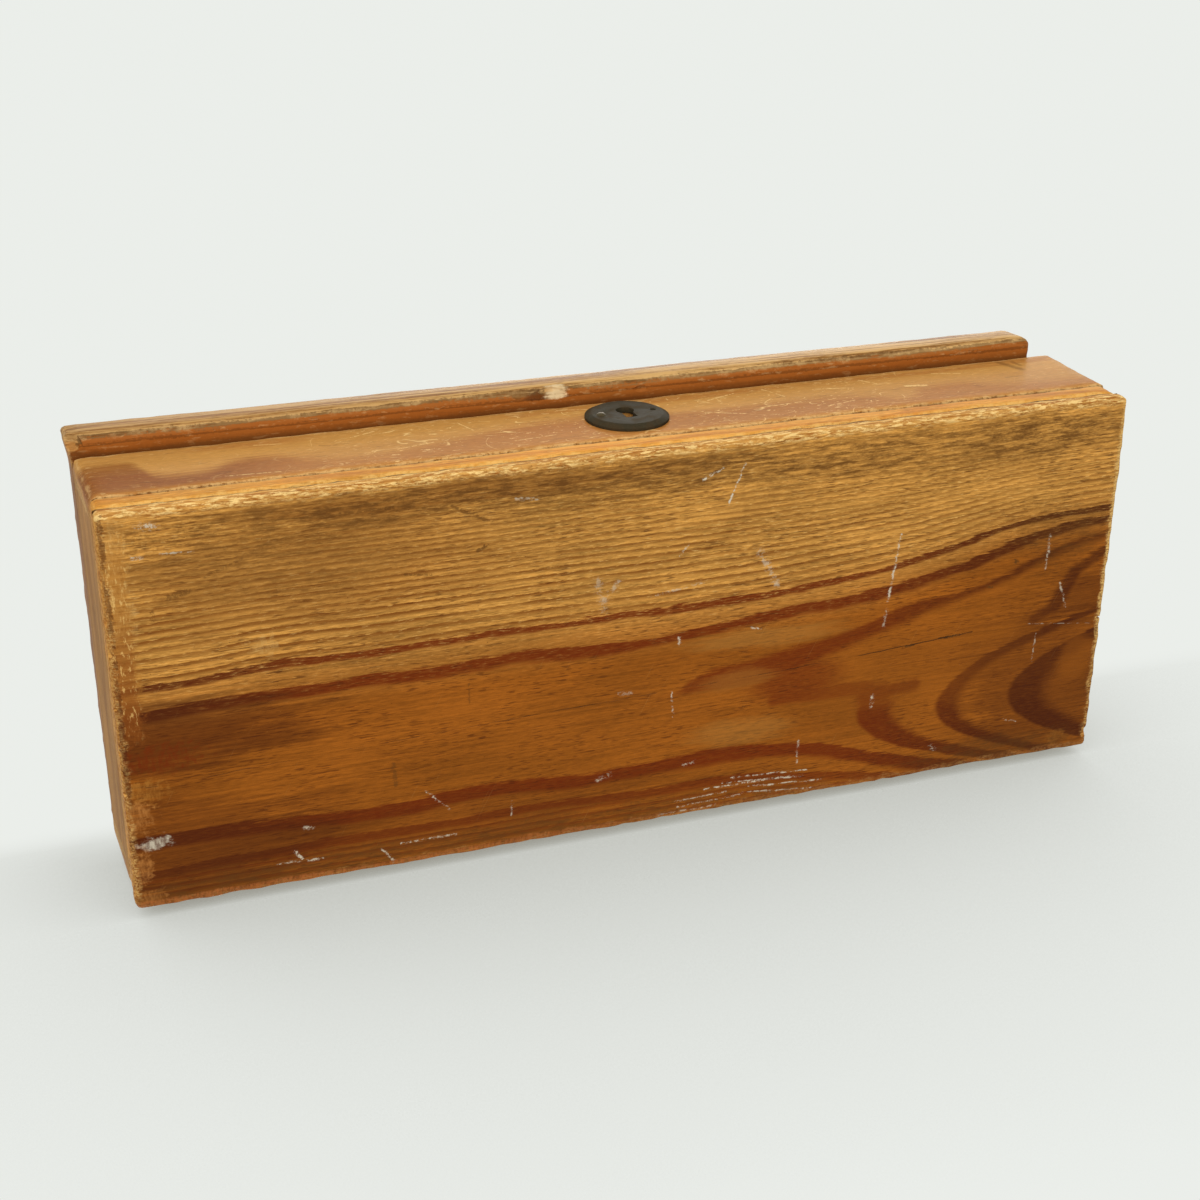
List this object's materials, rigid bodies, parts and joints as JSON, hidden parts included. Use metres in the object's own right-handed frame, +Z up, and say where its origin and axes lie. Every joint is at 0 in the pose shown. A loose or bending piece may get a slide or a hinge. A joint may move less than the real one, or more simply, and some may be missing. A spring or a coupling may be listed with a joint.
{
  "type": "trinket box",
  "caption": "Long, flat antique pine box with a hinged overhanging lid, butt hinges, a box lock with a sliding bolt and a round dark keyhole plate.",
  "frame": {"origin": "middle of the base board's underside", "axes": "+X along the length, to the right as the lock front is faced; +Y from the lock front to the hinges; +Z up, towards the lid"},
  "size_m": [0.2509, 0.1034, 0.0476],
  "materials": {
    "pine_base": "worn old varnish with dark grain bands, pale worn edges and scuffs",
    "pine_panel": "golden, worn edge of a pine board",
    "pine_wall": "old reddish-brown varnish, scratched",
    "pine_lid": "worn varnish, greyed at the front edge",
    "dark_iron": "blackened, satin",
    "worn_steel": "dull, age-stained",
    "old_brass": "tarnished"
  },
  "bodies": {
    "box": {"base_board": "pine_base", "bottom_panel": "pine_panel", "front_wall": "pine_wall", "back_wall": "pine_wall", "left_end": "pine_wall", "right_end": "pine_wall", "panel_nails": "dark_iron", "left_hinge_box_leaf": "dark_iron", "left_hinge_pin": "worn_steel", "right_hinge_box_leaf": "dark_iron", "right_hinge_pin": "worn_steel", "hinge_box_screws": "worn_steel", "lock_plate": "dark_iron", "lock_case": "dark_iron", "lock_case_rivets": "worn_steel", "lock_guide_pins": "worn_steel", "lock_drill_pin": "worn_steel", "lock_spring": "worn_steel", "lock_screws": "worn_steel", "escutcheon": "dark_iron", "escutcheon_pins": "worn_steel"},
    "lid": {"lid_board": "pine_lid", "left_hinge_lid_leaf": "dark_iron", "right_hinge_lid_leaf": "dark_iron", "hinge_lid_screws": "worn_steel", "link_plate": "dark_iron", "link_plate_screws": "worn_steel"},
    "bolt": {"lock_bolt": "old_brass"}
  },
  "joints": [
    {"name": "lid_hinge", "type": "hinge", "parent": "box", "child": "lid", "pos_m": [0, 0.0486, 0.03745], "axis": [-1, 0, 0], "range_deg": [0, 180]},
    {"name": "bolt_slide", "type": "slide", "parent": "box", "child": "bolt", "axis": [-1, 0, 0], "range_m": [0, 0.003]}
  ]
}
